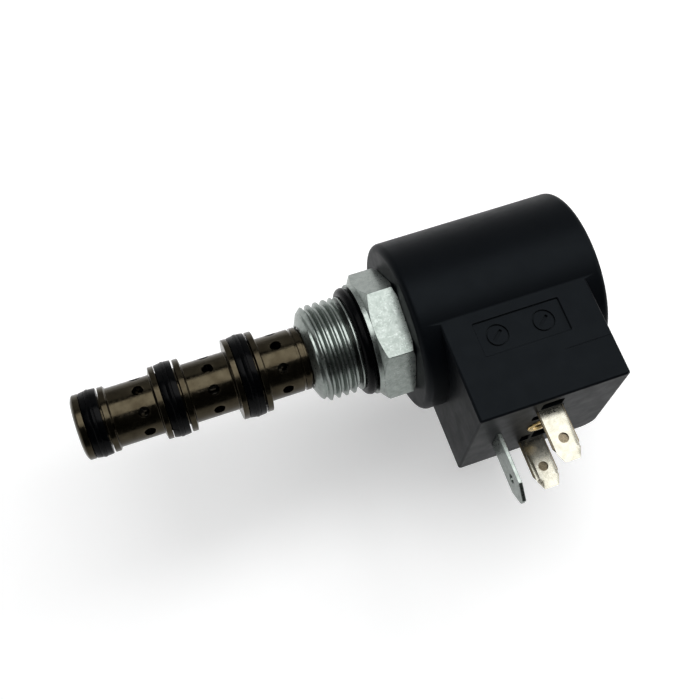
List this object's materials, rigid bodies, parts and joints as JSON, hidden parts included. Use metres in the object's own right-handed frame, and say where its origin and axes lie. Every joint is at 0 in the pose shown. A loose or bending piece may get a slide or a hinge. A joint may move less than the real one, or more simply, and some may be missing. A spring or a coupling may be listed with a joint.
{
  "type": "solenoid cartridge valve",
  "caption": "Screw-in hydraulic spool valve cartridge with a drilled, sealed sleeve, a threaded hexagon adapter and a round plastic-encased solenoid coil with plug-in contacts.",
  "frame": {"origin": "on the valve axis at the seat face, the underside of the hexagon that closes on the manifold", "axes": "+X along the valve axis from the nose of the sleeve towards the coil nut, -Y the way the contact blades point, +Z out of the terminal block's flat panel"},
  "size_m": [0.1029, 0.0573, 0.0336],
  "materials": {
    "oxide_steel": "satin brown oxide with fine turning marks",
    "zinc_plate": "satin zinc plate",
    "tube_steel": "drawn, bright",
    "soft_iron": "turned, bright",
    "ground_steel": "ground and polished",
    "flux_steel": "rolled, dull",
    "spring_wire": "drawn wire",
    "brass": "machined",
    "contact_plate": "nickel-plated brass with bare sheared edges",
    "copper_wire": "enamelled copper",
    "seal_rubber": "soft sheen",
    "backup_plastic": "satin",
    "coil_plastic": "fine matt moulded surface with a faint blue sheen",
    "bobbin_nylon": "moulded"
  },
  "bodies": {
    "valve_body": {"sleeve": "oxide_steel", "hex_adapter": "zinc_plate", "guide_tube": "tube_steel", "pole_piece": "soft_iron", "gap_shim": "brass", "return_spring": "spring_wire", "nose_oring": "seal_rubber", "middle_oring": "seal_rubber", "upper_oring": "seal_rubber", "seat_oring": "seal_rubber", "nose_backup_rings": "backup_plastic", "middle_backup_rings": "backup_plastic", "upper_backup_rings": "backup_plastic", "front_coil_seal": "seal_rubber", "nut_seal": "seal_rubber", "coil_nut": "zinc_plate"},
    "shuttle": {"spool": "ground_steel", "armature": "soft_iron"},
    "coil": {"coil_shell": "coil_plastic", "bobbin": "bobbin_nylon", "winding": "copper_wire", "flux_frame": "flux_steel", "front_flux_washer": "flux_steel", "rear_flux_washer": "flux_steel", "contact_1": "contact_plate", "contact_2": "contact_plate", "ground_contact": "zinc_plate", "screw_insert": "brass", "lead_1": "copper_wire", "lead_2": "copper_wire"}
  },
  "joints": [
    {"name": "spool_shift", "type": "slide", "parent": "valve_body", "child": "shuttle", "axis": [1, 0, 0], "range_m": [0, 0.0024], "stiffness_N_per_m": 1500, "springref_m": -0.003, "deforming": ["return_spring"]},
    {"name": "coil_turn", "type": "hinge", "parent": "valve_body", "child": "coil", "pos_m": [0.025, 0, 0], "axis": [1, 0, 0], "continuous": true}
  ]
}
